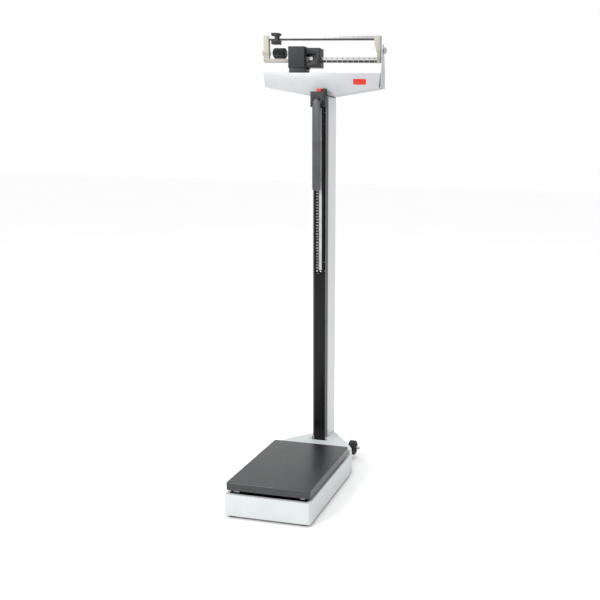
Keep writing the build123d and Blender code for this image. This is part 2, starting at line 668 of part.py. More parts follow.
def arm_parts():
    """Right-hand arm with its eye, and the knob that steadies the beam."""
    inner = HEAD_HALF
    outer = inner + 2.5
    with BuildPart() as arm:
        low = HEAD_END + 1
        outline = ((HEAD_FRONT + 2, low), (HEAD_BACK - 2, low), (HEAD_BACK - 2, HEAD_TOP + 4),
                   (BEAM_Y + 13, 1460), (BEAM_Y + 13, ARM_TOP), (BEAM_Y - 13, ARM_TOP), (BEAM_Y - 13, 1460),
                   (HEAD_FRONT + 2, HEAD_TOP + 4))
        prism_x(outline, inner, outer)
        fillet(arm.edges().filter_by(Axis.X).group_by(Axis.Z)[-1], 8)
        rod_x(inner - 1, outer + 1, BEAM_Y, KNOB_Z, 2.55, Mode.SUBTRACT)
    save(arm, "right_arm")
    with BuildPart() as knob:
        rod_x(inner - 1.5, outer + 4, BEAM_Y, KNOB_Z, 2.5)
        rod_x(outer + 3.2, KNOB_END, BEAM_Y, KNOB_Z, 10.5)
        chamfer(knob.faces().sort_by(Axis.X)[-1].edges(), 1.5)
    save(knob, "lock_knob")
    with BuildPart() as eye:
        with Locations(Location(((inner + outer) / 2, BEAM_Y, ARM_TOP + 7.1), (0, 90, 0))):
            Torus(6, 1.1)
    save(eye, "arm_eye")


def beam_frame():
    """Left and right end castings, upper and lower bars, and the beam's knife edges."""
    half = 7
    left, right = BEAM_LEFT, BEAM_RIGHT
    with BuildPart() as end:
        outline = ((left, BEAM_LOW), (LEG_END, BEAM_LOW), (LEG_END, BEAM_LOW + 12.5),
                   (END_INNER, BEAM_LOW + 12.5), (END_INNER, BEAM_TOP), (left, BEAM_TOP))
        prism_y(outline, BEAM_Y - half, BEAM_Y + half)
        fillet(end.edges().filter_by(Axis.Y).group_by(Axis.X)[0], 3)
        rod_x(left - 4, END_INNER + 2, BEAM_Y, SCREW_Z, 8)
        rod_x(END_INNER, END_INNER + 3, BEAM_Y, SCREW_Z, 3, Mode.SUBTRACT)
    save(end, "beam_end_left")
    with BuildPart() as end:
        outline = ((BAR_RIGHT, BEAM_TOP), (BAR_RIGHT, 1500), (LOWER_RIGHT, 1466), (LOWER_RIGHT, BEAM_LOW),
                   (right, BEAM_LOW), (right, BEAM_TOP))
        prism_y(outline, BEAM_Y - half, BEAM_Y + half)
        fillet(end.edges().filter_by(Axis.Y).group_by(Axis.X)[-1], 3)
        rod_x(BAR_RIGHT + 8, right, BEAM_Y, KNOB_Z, 8.5)
    save(end, "beam_end_right")
    front, back = BEAM_Y - BAR_T / 2, BEAM_Y + BAR_T / 2
    with BuildPart() as upper:
        block(END_INNER, BAR_RIGHT, front, back, UPPER_LOW, UPPER_TOP)
    save(upper, "beam_bar_upper")
    edges = ((PIVOT_X, 20, 1), (LOAD_X, 13, -1))
    with BuildPart() as lower:
        block(LEG_END, LOWER_RIGHT, front, back, BEAM_LOW, LOWER_TOP)
        for x, reach, way in edges:
            prism_y(wedge(x, PIVOT_Z, PIVOT_Z + way * BEAM_KNIFE, BEAM_KNIFE / 2), front - 1, back + 1,
                    Mode.SUBTRACT)
    save(lower, "beam_bar_lower")
    with BuildPart() as knives:
        for x, reach, way in edges:
            prism_y(wedge(x, PIVOT_Z, PIVOT_Z + way * BEAM_KNIFE, BEAM_KNIFE / 2), BEAM_Y - reach,
                    BEAM_Y + reach)
    save(knives, "beam_knives")


def poises():
    """Tare weight on its screw, and the small and main poises on the bars."""
    front, back = BEAM_Y - BAR_T / 2 - GAP, BEAM_Y + BAR_T / 2 + GAP
    left, right = -180, -136
    with BuildPart() as screw:
        rod_x(END_INNER, -124, BEAM_Y, SCREW_Z, 3)
    save(screw, "tare_screw")
    with BuildPart() as weight:
        rod_x(left, right, BEAM_Y, SCREW_Z, 17.6)
        chamfer(weight.edges().filter_by(GeomType.CIRCLE), 4)
        rod_x(left - 1, right + 1, BEAM_Y, SCREW_Z, 3.06, Mode.SUBTRACT)
    save(weight, "tare_weight")
    left, right = -186, -157
    with BuildPart() as small:
        block(left, right, BEAM_Y - 11, BEAM_Y + 11, 1497.5, POISE_TOP)
        fillet(small.edges().filter_by(Axis.Y), 1.5)
        block(left - 1, right + 1, front, back, UPPER_LOW - GAP, UPPER_TOP + GAP, Mode.SUBTRACT)
        for side in (-1, 1):
            y0, y1 = sorted((BEAM_Y + side * 5, BEAM_Y + side * 12))
            block(left - 1, left + 12.5, y0, y1, UPPER_LOW, UPPER_TOP + 1, Mode.SUBTRACT)
            block(right - 3, right + 1, y0, y1, UPPER_LOW, UPPER_TOP + 1, Mode.SUBTRACT)
    save(small, "small_poise")
    left, right = -55, -7
    with BuildPart() as main:
        block(left, right, BEAM_Y - 20, BEAM_Y + 20, 1420, 1484)
        fillet(main.edges().filter_by(Axis.Y), 1.5)
        block(left - 1, right + 1, front, back, BEAM_LOW - GAP, LOWER_TOP + GAP, Mode.SUBTRACT)
        for side in (-1, 1):
            y0, y1 = sorted((BEAM_Y + side * 5, BEAM_Y + side * 21))
            block(left - 1, left + 19, y0, y1, 1434, 1465, Mode.SUBTRACT)
            y0, y1 = sorted((BEAM_Y + side * 11, BEAM_Y + side * 21))
            block(left - 1, left + 34, y0, y1, 1434, 1465, Mode.SUBTRACT)
    save(main, "main_poise")


base_housing()
rear_housing()
base_frame()
vee_bearings()
long_lever()
short_lever()
lever_knives("long_lever_knives", LONG_PIVOT_Y, 1, True)
lever_knives("short_lever_knives", SHORT_PIVOT_Y, -1, False)
lever_link()
platform_mat()
platform_plate()
platform_brackets()
platform_bearings()
feet()
wheels()
column_parts()
draft_rod_parts()
height_rod_parts()
head_parts()
transfer_lever_parts()
beam_link()
pedestal_parts()
arm_parts()
beam_frame()
poises()
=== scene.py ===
import json
import math

import bmesh
import bpy
from mathutils import Matrix, Vector

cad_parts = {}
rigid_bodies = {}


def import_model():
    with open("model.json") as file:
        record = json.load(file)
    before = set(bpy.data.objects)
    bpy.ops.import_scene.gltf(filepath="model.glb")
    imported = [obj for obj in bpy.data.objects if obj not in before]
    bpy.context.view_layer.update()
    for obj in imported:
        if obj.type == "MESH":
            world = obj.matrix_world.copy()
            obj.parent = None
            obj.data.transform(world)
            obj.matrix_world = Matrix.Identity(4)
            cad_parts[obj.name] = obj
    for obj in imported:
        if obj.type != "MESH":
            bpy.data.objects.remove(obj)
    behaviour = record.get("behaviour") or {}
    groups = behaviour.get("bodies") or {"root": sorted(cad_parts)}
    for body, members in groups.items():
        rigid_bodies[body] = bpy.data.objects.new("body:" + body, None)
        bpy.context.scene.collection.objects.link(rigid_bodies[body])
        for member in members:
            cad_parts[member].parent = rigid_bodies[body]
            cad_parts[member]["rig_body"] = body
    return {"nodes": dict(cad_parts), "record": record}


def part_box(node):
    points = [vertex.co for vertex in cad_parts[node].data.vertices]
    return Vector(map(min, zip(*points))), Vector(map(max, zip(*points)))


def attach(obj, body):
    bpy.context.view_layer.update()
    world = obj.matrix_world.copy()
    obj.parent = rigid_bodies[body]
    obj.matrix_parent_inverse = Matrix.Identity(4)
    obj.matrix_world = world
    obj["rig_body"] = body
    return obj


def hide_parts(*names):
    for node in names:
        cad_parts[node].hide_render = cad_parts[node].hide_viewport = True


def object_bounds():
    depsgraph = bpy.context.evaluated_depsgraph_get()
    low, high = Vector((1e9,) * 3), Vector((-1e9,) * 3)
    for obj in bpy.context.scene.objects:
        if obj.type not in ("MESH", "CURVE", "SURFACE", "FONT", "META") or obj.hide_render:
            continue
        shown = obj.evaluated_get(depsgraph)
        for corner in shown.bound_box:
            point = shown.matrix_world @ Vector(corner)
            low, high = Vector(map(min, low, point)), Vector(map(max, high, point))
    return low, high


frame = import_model()
nodes = frame["nodes"]
cad_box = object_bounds()

MM = 0.001
NOISE_LOW, NOISE_HIGH = 0.3, 0.7
GRAIN_DEPTH = 0.3 * MM


# ---------------------------------------------------------------- materials

def link(mat, out, into):
    """Wire one shader socket to another."""
    mat.node_tree.links.new(out, into)


def finish_material(name, dark, light, rough, rough_spread=0.08, metallic=0.0, blotch=18.0,
                    grain=900.0, bump=0.15, stretch=(1, 1, 1), coat=0.0, specks=0.0, specular=0.5):
    """Procedural finish: slow colour variation, fine grain in the bump, and uneven roughness."""
    mat = bpy.data.materials.new(name)
    mat.use_nodes = True
    tree = mat.node_tree.nodes
    shader = tree["Principled BSDF"]
    shader.inputs["Metallic"].default_value = metallic
    shader.inputs["Specular IOR Level"].default_value = specular
    if coat:
        shader.inputs["Coat Weight"].default_value = coat
        shader.inputs["Coat Roughness"].default_value = 0.12
    coords = tree.new("ShaderNodeTexCoord")
    mapping = tree.new("ShaderNodeMapping")
    mapping.inputs["Scale"].default_value = stretch
    link(mat, coords.outputs["Object"], mapping.inputs["Vector"])
    slow = tree.new("ShaderNodeTexNoise")
    slow.inputs["Scale"].default_value = blotch
    slow.inputs["Detail"].default_value = 6
    link(mat, mapping.outputs["Vector"], slow.inputs["Vector"])
    ramp = tree.new("ShaderNodeValToRGB")
    ramp.color_ramp.elements[0].position = NOISE_LOW
    ramp.color_ramp.elements[1].position = NOISE_HIGH
    ramp.color_ramp.elements[0].color = (*dark, 1)
    ramp.color_ramp.elements[1].color = (*light, 1)
    link(mat, slow.outputs["Fac"], ramp.inputs["Fac"])
    fine = tree.new("ShaderNodeTexNoise")
    fine.inputs["Scale"].default_value = grain
    fine.inputs["Detail"].default_value = 3
    link(mat, mapping.outputs["Vector"], fine.inputs["Vector"])
    colour = ramp.outputs["Color"]
    if specks:
        mix = tree.new("ShaderNodeMix")
        mix.data_type = "RGBA"
        mix.blend_type = "MULTIPLY"
        mix.inputs["Factor"].default_value = specks
        link(mat, colour, mix.inputs["A"])
        link(mat, fine.outputs["Fac"], mix.inputs["B"])
        colour = mix.outputs["Result"]
    link(mat, colour, shader.inputs["Base Color"])
    spread = tree.new("ShaderNodeMapRange")
    spread.inputs["From Min"].default_value = NOISE_LOW
    spread.inputs["From Max"].default_value = NOISE_HIGH
    spread.inputs["To Min"].default_value = max(0.02, rough - rough_spread)
    spread.inputs["To Max"].default_value = rough + rough_spread
    link(mat, slow.outputs["Fac"], spread.inputs["Value"])
    link(mat, spread.outputs["Result"], shader.inputs["Roughness"])
    relief = tree.new("ShaderNodeBump")
    relief.inputs["Strength"].default_value = bump
    relief.inputs["Distance"].default_value = GRAIN_DEPTH
    link(mat, fine.outputs["Fac"], relief.inputs["Height"])
    link(mat, relief.outputs["Normal"], shader.inputs["Normal"])
    return mat


def grey(value, blue=0.0):
    """A grey of one lightness, cooler where blue is above zero."""
    return (value, value * (1 + blue * 0.4), value * (1 + blue))


# One finish for each material slot of the record.
finishes = {
    "white_paint": finish_material("white_powder_coat", (0.485, 0.515, 0.515), (0.525, 0.555, 0.555), 0.38,
                                   grain=700, bump=0.10, coat=0.1),
    "frame_steel": finish_material("dark_frame_paint", grey(0.030), grey(0.050), 0.5, bump=0.25,
                                   specular=0.3),
    "hard_steel": finish_material("ground_steel", grey(0.36), grey(0.50), 0.28, metallic=1.0,
                                  stretch=(0.1, 1, 1)),
    "cast_lever": finish_material("cast_iron", grey(0.05), grey(0.09), 0.62, grain=500, bump=0.5,
                                  metallic=0.6),
    "zinc_steel": finish_material("zinc_plate", grey(0.27, 0.03), grey(0.38, 0.03), 0.34, metallic=1.0,
                                  grain=1200),
    "platform_rubber": finish_material("platform_rubber", (0.010, 0.0125, 0.014),
                                       (0.017, 0.020, 0.022), 0.31, rough_spread=0.07, blotch=7, grain=1500,
                                       bump=0.25, specks=0.25, specular=0.62),
    "foot_rubber": finish_material("foot_rubber", grey(0.010), grey(0.018), 0.75, bump=0.4, specular=0.2),
    "wheel_plastic": finish_material("wheel_plastic", grey(0.006), grey(0.010), 0.28, bump=0.15,
                                     specular=0.35),
    "wheel_rubber": finish_material("wheel_rubber", grey(0.006), grey(0.012), 0.40, bump=0.35,
                                    specular=0.3),
    "column_aluminium": finish_material("column_silver_coat", grey(0.525, 0.03), grey(0.575, 0.03), 0.36,
                                        metallic=0.15, stretch=(1, 1, 0.05), grain=1400, bump=0.10),
    "black_strip": finish_material("black_anodised", grey(0.004), grey(0.008), 0.25, bump=0.10,
                                   stretch=(1, 1, 0.04), grain=1600, specular=0.16),
    "rod_metal": finish_material("rod_anodised", grey(0.010), grey(0.018), 0.32, metallic=0.3,
                                 stretch=(1, 1, 0.03), grain=1600, specular=0.3),
    "black_plastic": finish_material("black_grained_plastic", grey(0.014, 0.15), grey(0.022, 0.15), 0.46,
                                     grain=1100, bump=0.45, specular=0.25),
    "headpiece_plastic": finish_material("headpiece_plastic", grey(0.046, 0.18), grey(0.062, 0.18), 0.42,
                                         grain=1300, bump=0.25, specular=0.35),
    "red_plastic": finish_material("red_gloss_plastic", (0.48, 0.022, 0.008), (0.58, 0.032, 0.012), 0.28,
                                   bump=0.05, specular=0.3),
    "head_paint": finish_material("pale_grey_paint", grey(0.375, 0.06), grey(0.41, 0.06), 0.40,
                                  grain=650, bump=0.12, coat=0.08),
    "beam_casting": finish_material("beam_die_casting", (0.235, 0.225, 0.195), (0.33, 0.315, 0.275), 0.48,
                                    metallic=0.25, grain=600, bump=0.35),
    "beam_bar": finish_material("beam_bar_satin", grey(0.32), grey(0.40), 0.34, metallic=0.35,
                                stretch=(0.04, 1, 1), grain=1500),
    "poise_black": finish_material("black_poise_paint", grey(0.012, 0.15), grey(0.020, 0.15), 0.38,
                                   grain=800, bump=0.25, specular=0.15),
}
# Further finishes: grey for the column edge covers, which are partly the strip's dark side channel and
# partly painted shade on the bevels, and inks for the printed scales.
edge_grey_and_shade = finish_material("column_edge_grey", grey(0.10, 0.04), grey(0.135, 0.04), 0.40,
                            stretch=(1, 1, 0.04), grain=1400, bump=0.10, specular=0.3)
scale_white = finish_material("scale_white_ink", grey(0.66), grey(0.76), 0.5, bump=0.08)
# The black ink also gives the painted shade in the screw recesses.
black_ink_and_shade = finish_material("black_ink_and_recess_shade", grey(0.008), grey(0.016), 0.45, bump=0.08, specular=0.25)
scale_tape = finish_material("scale_tape", grey(0.36), grey(0.46), 0.42, bump=0.10)
slot_finish = {entry["node"]: entry["material_slot"] for entry in frame["record"]["subparts"]}


def dress(obj, material):
    """Give an object one finish."""
    obj.data.materials.clear()
    obj.data.materials.append(material)


for name, obj in nodes.items():
    dress(obj, finishes[slot_finish[name]])


# ---------------------------------------------------------------- mesh helpers

WELD = 1e-6
FLAT_ANGLE = math.radians(1)
EDGE_ANGLE = math.radians(25)


def add_object(name, mesh, material, body):
    """Put a finished mesh in the scene as a piece of a body."""
    obj = bpy.data.objects.new(name, mesh)
    bpy.context.scene.collection.objects.link(obj)
    dress(obj, material)
    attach(obj, body)
    return obj


def mesh_of(name, bm):
    """Turn a working mesh into a named one whose faces all look outward."""
    mesh = bpy.data.meshes.new(name)
    bmesh.ops.recalc_face_normals(bm, faces=bm.faces)
    bm.to_mesh(mesh)
    bm.free()
    return mesh


def smooth_by_angle(mesh, degrees=35):
    """Round shading over gentle corners and crisp shading over sharp ones."""
    for face in mesh.polygons:
        face.use_smooth = True
    mesh.set_sharp_from_angle(angle=math.radians(degrees))


def add_box(bm, low, high):
    """A closed box between two corners, in metres."""
    size = Vector(high) - Vector(low)
    middle = (Vector(high) + Vector(low)) / 2
    matrix = Matrix.Translation(middle) @ Matrix.Diagonal((*size, 1))
    bmesh.ops.create_cube(bm, size=1, matrix=matrix)


def refine(node, width):
    """Copy a CAD node with its edges rounded by a small radius, and show the copy in its place."""
    source = nodes[node]
    bm = bmesh.new()
    bm.from_mesh(source.data)
    bmesh.ops.remove_doubles(bm, verts=bm.verts, dist=WELD)
    bmesh.ops.dissolve_limit(bm, angle_limit=FLAT_ANGLE, verts=bm.verts, edges=bm.edges)
    mesh = mesh_of(node + "_mesh", bm)
    piece = add_object(node + "_body", mesh, finishes[slot_finish[node]],
                       source["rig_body"])
    bevel = piece.modifiers.new("round", "BEVEL")
    bevel.width = width
    bevel.segments = 3
    bevel.limit_method = "ANGLE"
    bevel.angle_limit = EDGE_ANGLE
    bevel.use_clamp_overlap = True
    bevel.harden_normals = False
    depsgraph = bpy.context.evaluated_depsgraph_get()
    baked = bpy.data.meshes.new_from_object(piece.evaluated_get(depsgraph))
    piece.modifiers.clear()
    piece.data = baked
    smooth_by_angle(baked)
    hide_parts(node)
    return piece


def turned(name, profile, centre, material, body, steps=96, teeth=0, depth=0.0):
    """A ring turned about the X axis: profile lists (x, radius, toothed) round its closed section."""
    bm = bmesh.new()
    rings = []
    for x, radius, toothed in profile:
        ring = []
        for step in range(steps):
            turn = 2 * math.pi * step / steps
            wave = depth * toothed * (0.5 - 0.5 * math.cos(turn * teeth)) if teeth else 0.0
            reach = radius - wave
            ring.append(bm.verts.new((x, centre.y + reach * math.cos(turn),
                                      centre.z + reach * math.sin(turn))))
        rings.append(ring)
    for here, there in zip(rings, rings[1:] + rings[:1]):
        for step in range(steps):
            after = (step + 1) % steps
            bm.faces.new((here[step], here[after], there[after], there[step]))
    mesh = mesh_of(name + "_mesh", bm)
    smooth_by_angle(mesh, 30)
    return add_object(name, mesh, material, body)


def prism_along_y(name, outline, y0, y1, material, body):
    """A plate whose outline lies in X and Z, pushed along Y."""
    bm = bmesh.new()
    front = [bm.verts.new((x, y0, z)) for x, z in outline]
    back = [bm.verts.new((x, y1, z)) for x, z in outline]
    bm.faces.new(front)
    bm.faces.new(back)
    for i in range(len(outline)):
        j = (i + 1) % len(outline)
        bm.faces.new((front[i], front[j], back[j], back[i]))
    mesh = mesh_of(name + "_mesh", bm)
    return add_object(name, mesh, material, body)


def boxes(name, corners, material, body):
    """Many small closed boxes as one piece."""
    bm = bmesh.new()
    for low, high in corners:
        add_box(bm, low, high)
    return add_object(name, mesh_of(name + "_mesh", bm), material, body)


def numerals(name, entries, height, y, material, body):
    """Plain numbers that face the front: entries are (text, centre x, centre z)."""
    bm = bmesh.new()
    for text, x, z in entries:
        curve = bpy.data.curves.new("numeral", "FONT")
        curve.body = text
        curve.size = height
        curve.align_x = "CENTER"
        curve.align_y = "CENTER"
        curve.extrude = 0.06 * MM
        curve.resolution_u = 3
        holder = bpy.data.objects.new("numeral", curve)
        bpy.context.scene.collection.objects.link(holder)
        depsgraph = bpy.context.evaluated_depsgraph_get()
        mesh = bpy.data.meshes.new_from_object(holder.evaluated_get(depsgraph))
        mesh.transform(Matrix.Translation((x, y, z)) @ Matrix.Rotation(math.pi / 2, 4, "X"))
        bm.from_mesh(mesh)
        bpy.data.objects.remove(holder)
        bpy.data.meshes.remove(mesh)
        bpy.data.curves.remove(curve)
    bmesh.ops.remove_doubles(bm, verts=bm.verts, dist=WELD / 10)
    return add_object(name, mesh_of(name + "_mesh", bm), material, body)


# ---------------------------------------------------------------- rounded casings and parts

# Millimetres.
EDGE_RADIUS = {
    "base_housing": 0.8, "rear_housing": 0.9, "base_frame": 0.5, "platform_mat": 0.8,
    "platform_plate": 0.5, "platform_brackets": 0.8, "column": 0.5, "column_strip": 0.3,
    "column_brackets": 0.6, "column_bolts": 0.6, "head_housing": 0.7, "head_cover": 0.6,
    "right_arm": 0.5, "beam_pedestal": 0.8, "pedestal_cover": 0.9, "beam_end_left": 1.2,
    "beam_end_right": 1.2, "small_poise": 0.8, "main_poise": 0.9, "rod_head": 0.9,
    "headpiece": 1.2, "release_button": 0.6, "rod_guide": 0.4, "height_rod": 0.4,
    "long_lever": 0.8, "short_lever": 0.8, "transfer_lever": 0.6, "beam_link": 0.5,
    "draft_rod_stirrups": 0.5, "lever_link": 0.6, "beam_bar_upper": 0.4, "wheel_caps": 0.5,
    "foot_front_left": 0.8, "foot_front_right": 0.8, "foot_rear_left": 0.8, "foot_rear_right": 0.8,
    "foot_lock_nuts": 0.5, "small_screws": 0.4, "wheel_hub_left": 0.5, "wheel_hub_right": 0.5,
    "column_top_plate": 0.4, "transfer_pivot_plates": 0.4,
}
for name, radius in EDGE_RADIUS.items():
    refine(name, radius * MM)


# ---------------------------------------------------------------- turned pieces

def knurled_weight():
    """Tare weight: chamfered cylinder with a finely fluted rim."""
    low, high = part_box("tare_weight")
    radius = (high.z - low.z) / 2
    bore = 3.06 * MM
    slope = 4 * MM
    break_in, break_drop = slope * 0.8, 0.3 * MM
    profile = ((low.x, bore, 0), (low.x, radius - slope, 0), (low.x + break_in, radius - break_drop, 1),
               (low.x + slope, radius, 1), (high.x - slope, radius, 1),
               (high.x - break_in, radius - break_drop, 1), (high.x, radius - slope, 0),
               (high.x, bore, 0))
    piece = turned("tare_weight_knurled", profile, (low + high) / 2, finishes["poise_black"],
                   "tare_weight", steps=288, teeth=48, depth=1.0 * MM)
    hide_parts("tare_weight")


def knurled_knob():
    """Knob on the right arm: a knurled metal disc on its spindle."""
    low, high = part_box("lock_knob")
    radius = (high.z - low.z) / 2
    thickness, spindle, core = 5.3 * MM, 2.5 * MM, 0.2 * MM
    slope, chamfer, dish = 1.5 * MM, 0.4 * MM, 0.8 * MM
    inner = high.x - thickness
    profile = ((low.x, core, 0), (low.x, spindle - chamfer, 0), (low.x + chamfer, spindle, 0),
               (inner, spindle, 0), (inner, radius - 1 * MM, 0), (inner + 1 * MM, radius, 1),
               (high.x - slope, radius, 1), (high.x, radius - slope, 0),
               (high.x, 6 * MM, 0), (high.x - dish, 5 * MM, 0), (high.x - dish, core, 0))
    piece = turned("lock_knob_knurled", profile, (low + high) / 2, finishes["zinc_steel"], "lock_knob",
                   steps=192, teeth=32, depth=0.9 * MM)
    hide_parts("lock_knob")


def tyre(side):
    """Transport wheel tyre with rounded shoulders and shallow tread blocks."""
    node = "wheel_tyre_" + side
    low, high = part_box(node)
    radius = (high.z - low.z) / 2
    bore = 19 * MM
    centre = (low + high) / 2
    shoulder = 6 * MM
    groove, groove_foot, groove_depth = 1.5 * MM, 1.2 * MM, 1.2 * MM
    rounds = []
    for step in range(5):
        angle = math.pi / 2 * step / 4
        rounds.append((shoulder * (1 - math.sin(angle)), shoulder * (1 - math.cos(angle))))
    profile = [(low.x, bore, 0)]
    profile += [(low.x + inset, radius - drop, 1) for inset, drop in reversed(rounds)]
    profile += [(centre.x - groove, radius, 1), (centre.x - groove_foot, radius - groove_depth, 0),
                (centre.x + groove_foot, radius - groove_depth, 0), (centre.x + groove, radius, 1)]
    profile += [(high.x - inset, radius - drop, 1) for inset, drop in rounds]
    profile += [(high.x, bore, 0)]
    piece = turned("tyre_tread_" + side, profile, centre, finishes["wheel_rubber"], "wheel_" + side,
                   steps=192, teeth=24, depth=0.9 * MM)
    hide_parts(node)


knurled_weight()
knurled_knob()
for side in ("left", "right"):
    tyre(side)


# ---------------------------------------------------------------- beam and rod scales

INK = 0.12 * MM
BAND_INK = 0.08 * MM
TAPE_INK = 0.10 * MM
TEXT_LIFT = 0.02 * MM
SUNK = 0.2 * MM


def length_of(count, whole, half, single):
    """Length of a graduation: the longest at every tenth, a middle one at every fifth."""
    if count % 10 == 0:
        return whole
    return half if count % 5 == 0 else single


def marks_down(top, end, step):
    """Number and height of each mark below the top, one step apart, down to the end."""
    count = 1
    while top - count * step >= end:
        yield count, top - count * step
        count += 1


def upper_scale():
    """Black lower band of the upper bar, and its fine graduation with a number for every kilogram."""
    low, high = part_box("beam_bar_upper")
    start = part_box("small_poise")[1].x
    edge = low.z + 5.5 * MM
    face = low.y
    boxes("upper_bar_band", [((low.x + 1 * MM, face - BAND_INK, low.z + 0.4 * MM),
                              (high.x - 1 * MM, face + SUNK, edge))],
          black_ink_and_shade, "beam")
    divisions, per_kilogram = 200, 10
    step, half_width = 1.65 * MM, 0.14 * MM
    text_height, text_rise = 4.2 * MM, 6.4 * MM
    ticks = []
    texts = []
    for count in range(divisions + 1):
        x = start + step * count
        tall = length_of(count, 4.2 * MM, 3.2 * MM, 2.2 * MM)
        ticks.append(((x - half_width, face - INK, edge), (x + half_width, face + SUNK, edge + tall)))
        if count % per_kilogram == 0:
            texts.append((str(count // per_kilogram), x, edge + text_rise))
    boxes("upper_scale_ticks", ticks, black_ink_and_shade, "beam")
    numerals("upper_scale_numbers", texts, text_height, face - TEXT_LIFT, black_ink_and_shade, "beam")


def lower_scale():
    """Notched lower bar: numbers on its light upper part and marks on its black lower part."""
    low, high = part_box("beam_bar_lower")
    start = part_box("main_poise")[1].x
    step, notches, kilograms = 19 * MM, 11, 20
    notch_half, notch_depth = 1.6 * MM, 2 * MM
    places = [start + step * count for count in range(notches) if start + step * count < high.x - 3 * MM]
    outline = [(low.x, low.z), (high.x, low.z), (high.x, high.z)]
    for x in reversed(places):
        outline += [(x + notch_half, high.z), (x, high.z - notch_depth), (x - notch_half, high.z)]
    outline.append((low.x, high.z))
    bar = prism_along_y("lower_bar_notched", outline, low.y, high.y, finishes["beam_bar"], "beam")
    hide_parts("beam_bar_lower")
    face = low.y
    edge = low.z + 8 * MM
    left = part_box("pedestal_cover")[1].x + 4 * MM
    boxes("lower_bar_band", [((left, face - BAND_INK, low.z + 0.5 * MM),
                              (high.x - 1 * MM, face + SUNK, edge))],
          black_ink_and_shade, "beam")
    mark_half, tick_half, tick_tall = 0.45 * MM, 0.2 * MM, 1.8 * MM
    marks = [((x - mark_half, face - INK, low.z + 2 * MM), (x + mark_half, face, edge - 0.6 * MM))
             for x in places]
    boxes("lower_scale_marks", marks, scale_white, "beam")
    quarters = [start + step * part / 4 for part in range(4 * (len(places) - 1) + 1)]
    ticks = [((x - tick_half, face - INK, edge), (x + tick_half, face + SUNK, edge + tick_tall))
             for x in quarters]
    boxes("lower_scale_ticks", ticks, black_ink_and_shade, "beam")
    text_height, text_rise = 6.4 * MM, 5.2 * MM
    texts = [(str(kilograms * count), x, edge + text_rise) for count, x in enumerate(places)]
    numerals("lower_scale_numbers", texts, text_height, face - TEXT_LIFT, black_ink_and_shade, "beam")


def rod_scale():
    """Centimetre numbers on the sliding rod and a light tape with millimetre ticks beside them."""
    low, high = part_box("height_rod")
    face = low.y
    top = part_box("rod_guide")[1].z
    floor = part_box("platform_mat")[1].z
    hinge_to_sole = 6 * MM
    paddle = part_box("headpiece")[1].z - hinge_to_sole
    first = math.ceil((paddle - floor) * 100)
    end = low.z + 8 * MM
    centimetre, millimetre = 10 * MM, 1 * MM
    text_x, text_height = -6.2 * MM, 5.2 * MM
    tape_left, tape_right = 0.8 * MM, 10.6 * MM
    line_left, line_half = 0.9 * MM, 0.12 * MM
    texts = []
    ticks = []
    for count, z in marks_down(top, end, centimetre):
        texts.append((str(first + count), text_x, z))
        ticks.append(((-0.9 * MM, face - INK, z - 0.3 * MM), (0.5 * MM, face + SUNK, z + 0.3 * MM)))
    numerals("rod_scale_numbers", texts, text_height, face - TEXT_LIFT, scale_white, "height_rod")
    boxes("rod_scale_ticks", ticks, scale_white, "height_rod")
    boxes("rod_scale_tape", [((tape_left, face - TAPE_INK, end),
                              (tape_right, face + SUNK, high.z - 2 * MM))],
          scale_tape, "height_rod")
    lines = []
    for count, z in marks_down(top, end + millimetre, millimetre):
        long = length_of(count, 4.6 * MM, 3.4 * MM, 2.2 * MM)
        lines.append(((line_left, face - TAPE_INK - 0.06 * MM, z - line_half),
                      (line_left + long, face, z + line_half)))
    boxes("rod_scale_millimetres", lines, black_ink_and_shade, "height_rod")


upper_scale()
lower_scale()
rod_scale()


# ---------------------------------------------------------------- small details

def badge():
    """Plain red badge on the head's front panel, with no lettering."""
    low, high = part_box("head_housing")
    left, right = 114 * MM, 159 * MM
    bottom, top = high.z - 38 * MM, high.z - 19.5 * MM
    corner, corner_steps = 3 * MM, 6
    outline = []
    for cx, cz, turn in ((right - corner, top - corner, 0), (left + corner, top - corner, 1),
                         (left + corner, bottom + corner, 2), (right - corner, bottom + corner, 3)):
        for step in range(corner_steps + 1):
            angle = math.pi / 2 * (turn + step / corner_steps)
            outline.append((cx + corner * math.cos(angle), cz + corner * math.sin(angle)))
    prism_along_y("head_badge", outline, low.y - 0.6 * MM, low.y + 0.3 * MM,
                  finishes["red_plastic"], "frame")


def column_edges():
    """Grey cover along each bevelled front corner of the column: partly the dark side channel of the strip,
    partly painted shade on the bevel.
    """
    low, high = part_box("column")
    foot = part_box("rear_housing")[1].z + 1 * MM
    head = high.z - 1 * MM
    bevel, inset, proud = 7 * MM, 0.4 * MM, 0.25 * MM
    bm = bmesh.new()
    for side in (-1, 1):
        ring = []
        for along, out in ((inset, -proud), (inset, proud), (bevel - inset, proud), (bevel - inset, -proud)):
            x = side * (high.x - bevel + along + out)
            ring.append((x, low.y + along - out))
        lower = [bm.verts.new((x, y, foot)) for x, y in ring]
        upper = [bm.verts.new((x, y, head)) for x, y in ring]
        for i in range(4):
            bm.faces.new((lower[i], lower[(i + 1) % 4], upper[(i + 1) % 4], upper[i]))
        bm.faces.new(lower)
        bm.faces.new(upper)
    add_object("column_edge_covers_and_shade", mesh_of("column_edge_covers_and_shade", bm), edge_grey_and_shade, "frame")


def platform_tabs():
    """Small plated tabs under the platform's front edge, seen in the gap above the base."""
    low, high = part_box("platform_plate")
    setback, thickness, drop = 5 * MM, 2 * MM, 7 * MM
    tabs = [((x0, low.y + setback, low.z - drop), (x1, low.y + setback + thickness, low.z - 0.1 * MM))
            for x0, x1 in ((low.x + 20 * MM, low.x + 38 * MM), (high.x - 30 * MM, high.x - 16 * MM))]
    boxes("platform_front_tabs", tabs, finishes["zinc_steel"], "platform")


